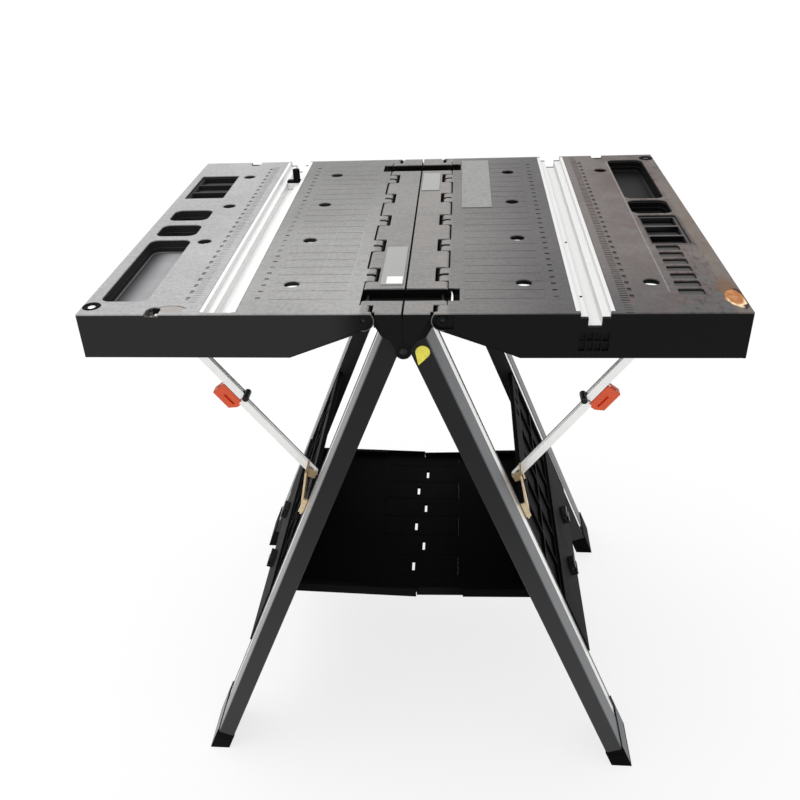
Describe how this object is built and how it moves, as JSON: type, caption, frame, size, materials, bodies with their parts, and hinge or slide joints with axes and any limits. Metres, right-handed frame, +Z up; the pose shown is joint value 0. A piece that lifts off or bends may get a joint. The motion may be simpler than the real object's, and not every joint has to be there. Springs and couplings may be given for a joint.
{
  "type": "folding work table",
  "caption": "Folding work table with moulded hinged wings, clamp rails and trays on an A-frame of leaning legs, braced wings and a folding comb shelf.",
  "frame": {"origin": "on the floor under the middle of the table's bounding box", "axes": "+X to the right in the picture, +Y away from the camera, +Z up"},
  "size_m": [0.786, 0.64, 0.83],
  "materials": {
    "deck_plastic": "matt, lightly grained",
    "black_plastic": "matt moulded",
    "leg_tube": "dark coated front, pale outer face",
    "rail_aluminium": "extruded, bright",
    "plated_steel": "bright zinc plate",
    "yellow_zinc": "yellow zinc plate",
    "dark_steel": "blackened",
    "orange_plastic": "satin moulded",
    "pale_plate": "satin film",
    "yellow_film": "satin film"
  },
  "bodies": {
    "frame_left": {"centre_beam_left": "deck_plastic", "leg_front_left": "leg_tube", "leg_rear_left": "leg_tube", "foot_front_left": "black_plastic", "foot_rear_left": "black_plastic", "side_panel_left": "black_plastic", "clip_front_left": "dark_steel", "clip_rear_left": "dark_steel", "brace_bracket_left": "yellow_zinc", "plate_centre_left": "pale_plate", "hinge_pin_left": "dark_steel", "pivot_pin_front": "dark_steel", "pivot_pin_rear": "dark_steel"},
    "wing_left": {"wing_deck_left": "deck_plastic", "rail_left": "rail_aluminium", "brace_anchor_left": "plated_steel"},
    "lower_link_left": {"brace_lower_left": "plated_steel", "brace_rivet_left": "dark_steel"},
    "upper_link_left": {"brace_upper_left": "plated_steel", "lever_pin_left": "dark_steel"},
    "release_left": {"lever_left": "orange_plastic"},
    "shelf_half_left": {"shelf_left": "black_plastic"},
    "frame_right": {"centre_beam_right": "deck_plastic", "leg_front_right": "leg_tube", "leg_rear_right": "leg_tube", "foot_front_right": "black_plastic", "foot_rear_right": "black_plastic", "side_panel_right": "black_plastic", "clip_front_right": "dark_steel", "clip_rear_right": "dark_steel", "brace_bracket_right": "yellow_zinc", "plate_centre_right": "pale_plate", "hinge_pin_right": "dark_steel", "leg_tag": "yellow_film"},
    "wing_right": {"wing_deck_right": "deck_plastic", "rail_right": "rail_aluminium", "brace_anchor_right": "plated_steel", "plate_wing_right": "pale_plate"},
    "lower_link_right": {"brace_lower_right": "plated_steel", "brace_rivet_right": "dark_steel"},
    "upper_link_right": {"brace_upper_right": "plated_steel", "lever_pin_right": "dark_steel"},
    "release_right": {"lever_right": "orange_plastic"},
    "shelf_half_right": {"shelf_right": "black_plastic"},
    "stop": {"rail_stop": "black_plastic"}
  },
  "joints": [
    {"name": "leg_fold", "type": "hinge", "parent": "frame_left", "child": "frame_right", "pos_m": [0, 0, 0.765], "axis": [0, 1, 0], "range_deg": [0, 44]},
    {"name": "wing_fold_left", "type": "hinge", "parent": "frame_left", "child": "wing_left", "pos_m": [-0.046, 0, 0.805], "axis": [0, -1, 0], "range_deg": [0, 56]},
    {"name": "brace_lower_fold_left", "type": "hinge", "parent": "frame_left", "child": "lower_link_left", "pos_m": [-0.15001, -0.1752, 0.48948], "axis": [0, -1, 0], "range_deg": [0, 118.3]},
    {"name": "brace_upper_fold_left", "type": "hinge", "parent": "wing_left", "child": "upper_link_left", "pos_m": [-0.352, -0.1752, 0.7575], "axis": [0, 1, 0], "range_deg": [0, 111]},
    {"name": "release_left", "type": "hinge", "parent": "upper_link_left", "child": "release_left", "pos_m": [-0.27054, -0.1752, 0.6308], "axis": [0, 1, 0], "range_deg": [0, 12], "stiffness_Nm_per_rad": 0.25, "springref_deg": -14.32},
    {"name": "shelf_fold_left", "type": "hinge", "parent": "frame_left", "child": "shelf_half_left", "pos_m": [-0.21576, 0, 0.2704], "axis": [0, -1, 0], "range_deg": [0, 69.2]},
    {"name": "wing_fold_right", "type": "hinge", "parent": "frame_right", "child": "wing_right", "pos_m": [0.046, 0, 0.805], "axis": [0, 1, 0], "range_deg": [0, 56]},
    {"name": "brace_lower_fold_right", "type": "hinge", "parent": "frame_right", "child": "lower_link_right", "pos_m": [0.15001, -0.1752, 0.48948], "axis": [0, 1, 0], "range_deg": [0, 118.3]},
    {"name": "brace_upper_fold_right", "type": "hinge", "parent": "wing_right", "child": "upper_link_right", "pos_m": [0.352, -0.1752, 0.7575], "axis": [0, -1, 0], "range_deg": [0, 111]},
    {"name": "release_right", "type": "hinge", "parent": "upper_link_right", "child": "release_right", "pos_m": [0.27054, -0.1752, 0.6308], "axis": [0, -1, 0], "range_deg": [0, 12], "stiffness_Nm_per_rad": 0.25, "springref_deg": -14.32},
    {"name": "shelf_fold_right", "type": "hinge", "parent": "frame_right", "child": "shelf_half_right", "pos_m": [0.21576, 0, 0.2704], "axis": [0, 1, 0], "range_deg": [0, 69.2]},
    {"name": "stop_slide", "type": "slide", "parent": "wing_left", "child": "stop", "axis": [0, 1, 0], "range_m": [-0.49, 0.085]}
  ],
  "couplings": [
    {"joint": "brace_lower_fold_left", "follows": "wing_fold_left", "ratio": 2.1029},
    {"joint": "brace_upper_fold_left", "follows": "wing_fold_left", "ratio": 1.9728},
    {"joint": "shelf_fold_left", "follows": "leg_fold", "ratio": 1.56},
    {"joint": "brace_lower_fold_right", "follows": "wing_fold_right", "ratio": 2.1029},
    {"joint": "brace_upper_fold_right", "follows": "wing_fold_right", "ratio": 1.9728},
    {"joint": "shelf_fold_right", "follows": "leg_fold", "ratio": 1.56}
  ]
}
